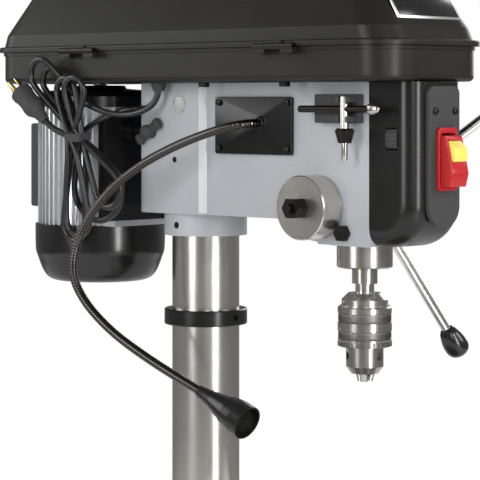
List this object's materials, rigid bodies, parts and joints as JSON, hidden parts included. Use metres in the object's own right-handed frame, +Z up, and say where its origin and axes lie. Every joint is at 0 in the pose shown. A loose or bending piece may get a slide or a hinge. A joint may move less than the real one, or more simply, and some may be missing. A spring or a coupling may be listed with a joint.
{
  "type": "drill press",
  "caption": "Bench drill press head on a round column: belt cover with lid, stepped pulleys, finned motor, keyed chuck, feed handles, flexible lamp and tilting table.",
  "frame": {"origin": "column axis, on the underside of the base", "axes": "+Z up along the column, -Y towards the operator, -X the machine's left"},
  "size_m": [0.3, 0.647, 1.065],
  "materials": {
    "cast_base": "light grey hammered paint",
    "steel_tube": "ground steel",
    "head_paint": "light grey paint",
    "black_cast": "black satin paint",
    "black_plastic": "black moulded plastic",
    "polished_steel": "polished steel",
    "dark_steel": "blackened steel",
    "zinc": "bright zinc",
    "fins": "extruded aluminium",
    "red_plastic": "red moulded plastic",
    "yellow_plastic": "yellow moulded plastic",
    "cable": "black cable sheath",
    "belt": "black V-belt",
    "pulley_cast": "turned cast aluminium",
    "table_iron": "ground cast iron"
  },
  "bodies": {
    "stand": {"base": "cast_base", "column_flange": "cast_base", "hex_bolts": "dark_steel", "column": "steel_tube", "rack_ring": "black_cast", "head_casting": "head_paint", "small_screws": "dark_steel", "front_housing": "black_cast", "switch_panel": "black_plastic", "switch_frame": "red_plastic", "cover_tray": "black_cast", "hinge_pins": "dark_steel", "lamp_plate": "black_cast", "gooseneck": "black_plastic", "key_holder": "black_plastic", "spring_cap": "polished_steel", "return_spring": "dark_steel", "head_bearings": "polished_steel", "power_gland": "black_plastic", "power_cord": "cable", "cord_hank": "cable", "cord_tie": "black_plastic", "plug": "black_plastic", "motor_lead": "cable", "drive_belts": "belt"},
    "lid": {"cover_lid": "black_cast"},
    "motor": {"motor_plate": "black_cast", "motor_body": "fins", "motor_shield": "black_cast", "motor_bell": "black_cast", "terminal_box": "black_plastic"},
    "rotor": {"motor_pulley": "pulley_cast"},
    "idler_arm": {"idler_arm": "dark_steel"},
    "idler": {"idler_pulley": "pulley_cast"},
    "spindle_drive": {"spindle_pulley": "pulley_cast"},
    "quill": {"quill": "polished_steel", "quill_bearings": "polished_steel"},
    "spindle": {"spindle": "polished_steel", "chuck_body": "polished_steel"},
    "chuck_sleeve": {"chuck_sleeve": "dark_steel"},
    "jaw_1": {"chuck_jaw_1": "dark_steel"},
    "jaw_2": {"chuck_jaw_2": "dark_steel"},
    "jaw_3": {"chuck_jaw_3": "dark_steel"},
    "feed": {"pinion_shaft": "dark_steel", "feed_hub": "black_cast", "feed_rods": "zinc", "feed_knobs": "black_plastic"},
    "switch_paddle": {"switch_paddle": "red_plastic"},
    "switch_key": {"switch_key": "yellow_plastic"},
    "lamp_switch": {"lamp_switch": "black_plastic"},
    "lamp": {"lamp_shade": "black_cast"},
    "chuck_key": {"chuck_key": "dark_steel"},
    "tension_lever": {"tension_lever": "zinc"},
    "slide_lock": {"slide_lock": "black_plastic"},
    "rack": {"rack": "dark_steel"},
    "bracket": {"table_bracket": "cast_base"},
    "crank": {"table_crank": "dark_steel"},
    "clamp_lever": {"clamp_lever": "dark_steel"},
    "table_arm": {"table_arm": "cast_base"},
    "table": {"table": "table_iron"}
  },
  "joints": [
    {"name": "lid_hinge", "type": "hinge", "parent": "stand", "child": "lid", "pos_m": [-0.0885, 0, 0.974], "axis": [0, -1, 0], "range_deg": [0, 95]},
    {"name": "tension_turn", "type": "hinge", "parent": "stand", "child": "tension_lever", "pos_m": [0, -0.008, 0.915], "axis": [1, 0, 0], "range_deg": [0, 60]},
    {"name": "motor_slide", "type": "slide", "parent": "stand", "child": "motor", "axis": [0, -1, 0], "range_m": [0, 0.012], "deforming": ["drive_belts", "motor_lead"]},
    {"name": "spindle_turn", "type": "hinge", "parent": "stand", "child": "spindle_drive", "pos_m": [0, -0.226, 0.95], "axis": [0, 0, 1], "continuous": true},
    {"name": "motor_turn", "type": "hinge", "parent": "motor", "child": "rotor", "pos_m": [0, 0.169, 0.95], "axis": [0, 0, 1], "continuous": true},
    {"name": "idler_swing", "type": "hinge", "parent": "stand", "child": "idler_arm", "pos_m": [0, 0.02, 0.945], "axis": [0, 0, 1], "range_deg": [-8, 8]},
    {"name": "idler_turn", "type": "hinge", "parent": "idler_arm", "child": "idler", "pos_m": [0, -0.028, 0.98], "axis": [0, 0, 1], "continuous": true},
    {"name": "feed_turn", "type": "hinge", "parent": "stand", "child": "feed", "pos_m": [0, -0.2, 0.812], "axis": [1, 0, 0], "range_deg": [0, 560], "stiffness_Nm_per_rad": 0.25, "springref_deg": -85.94},
    {"name": "quill_feed", "type": "slide", "parent": "stand", "child": "quill", "axis": [0, 0, -1], "range_m": [0, 0.0801]},
    {"name": "chuck_turn", "type": "hinge", "parent": "quill", "child": "spindle", "pos_m": [0, -0.226, 0.7], "axis": [0, 0, 1], "continuous": true},
    {"name": "sleeve_turn", "type": "hinge", "parent": "spindle", "child": "chuck_sleeve", "pos_m": [0, -0.226, 0.69], "axis": [0, 0, 1], "range_deg": [0, 1440]},
    {"name": "jaw_1_slide", "type": "slide", "parent": "spindle", "child": "jaw_1", "axis": [0, 0.2756, 0.9613], "range_m": [0, 0.0161]},
    {"name": "jaw_2_slide", "type": "slide", "parent": "spindle", "child": "jaw_2", "axis": [-0.2387, -0.1378, 0.9613], "range_m": [0, 0.0161]},
    {"name": "jaw_3_slide", "type": "slide", "parent": "spindle", "child": "jaw_3", "axis": [0.2387, -0.1378, 0.9613], "range_m": [0, 0.0161]},
    {"name": "paddle_swing", "type": "hinge", "parent": "stand", "child": "switch_paddle", "pos_m": [0, -0.331, 0.884], "axis": [-1, 0, 0], "range_deg": [0, 14]},
    {"name": "key_pull", "type": "slide", "parent": "switch_paddle", "child": "switch_key", "axis": [0, -1, 0], "range_m": [0, 0.022]},
    {"name": "lamp_switch_rock", "type": "hinge", "parent": "stand", "child": "lamp_switch", "pos_m": [-0.033, -0.295, 0.882], "axis": [0, 1, 0], "range_deg": [-8, 8]},
    {"name": "lamp_aim", "type": "hinge", "parent": "stand", "child": "lamp", "pos_m": [-0.116, -0.068, 0.637], "axis": [1, 0, 0], "range_deg": [-22, 22], "deforming": ["gooseneck"]},
    {"name": "chuck_key_out", "type": "slide", "parent": "stand", "child": "chuck_key", "axis": [-1, 0, 0], "range_m": [0, 0.05]},
    {"name": "slide_lock_turn", "type": "hinge", "parent": "stand", "child": "slide_lock", "pos_m": [-0.055, 0.035, 0.886], "axis": [1, 0, 0], "range_deg": [0, 120]},
    {"name": "table_swing", "type": "hinge", "parent": "stand", "child": "rack", "pos_m": [0, 0, 0.4], "axis": [0, 0, 1], "range_deg": [-175, 175]},
    {"name": "crank_turn", "type": "hinge", "parent": "bracket", "child": "crank", "pos_m": [0, 0.0548, 0.418], "axis": [1, 0, 0], "range_deg": [-1288, 0]},
    {"name": "table_lift", "type": "slide", "parent": "rack", "child": "bracket", "axis": [0, 0, 1], "range_m": [-0.27, 0]},
    {"name": "clamp_turn", "type": "hinge", "parent": "bracket", "child": "clamp_lever", "pos_m": [-0.06, 0, 0.425], "axis": [1, 0, 0], "range_deg": [-90, 0]},
    {"name": "table_tilt", "type": "hinge", "parent": "bracket", "child": "table_arm", "pos_m": [0, -0.07, 0.425], "axis": [0, 1, 0], "range_deg": [-45, 45]},
    {"name": "table_turn", "type": "hinge", "parent": "table_arm", "child": "table", "pos_m": [0, -0.226, 0.45], "axis": [0, 0, 1], "continuous": true}
  ],
  "couplings": [
    {"joint": "motor_slide", "follows": "tension_turn", "m_per_rad": 0.011459},
    {"joint": "idler_turn", "follows": "spindle_turn", "ratio": 1.2078},
    {"joint": "motor_turn", "follows": "spindle_turn", "ratio": 1.4588},
    {"joint": "chuck_turn", "follows": "spindle_turn", "ratio": 1},
    {"joint": "quill_feed", "follows": "feed_turn", "m_per_rad": 0.008125},
    {"joint": "jaw_1_slide", "follows": "sleeve_turn", "m_per_rad": 0.00063662},
    {"joint": "jaw_2_slide", "follows": "sleeve_turn", "m_per_rad": 0.00063662},
    {"joint": "jaw_3_slide", "follows": "sleeve_turn", "m_per_rad": 0.00063662},
    {"joint": "table_lift", "follows": "crank_turn", "m_per_rad": 0.012}
  ]
}
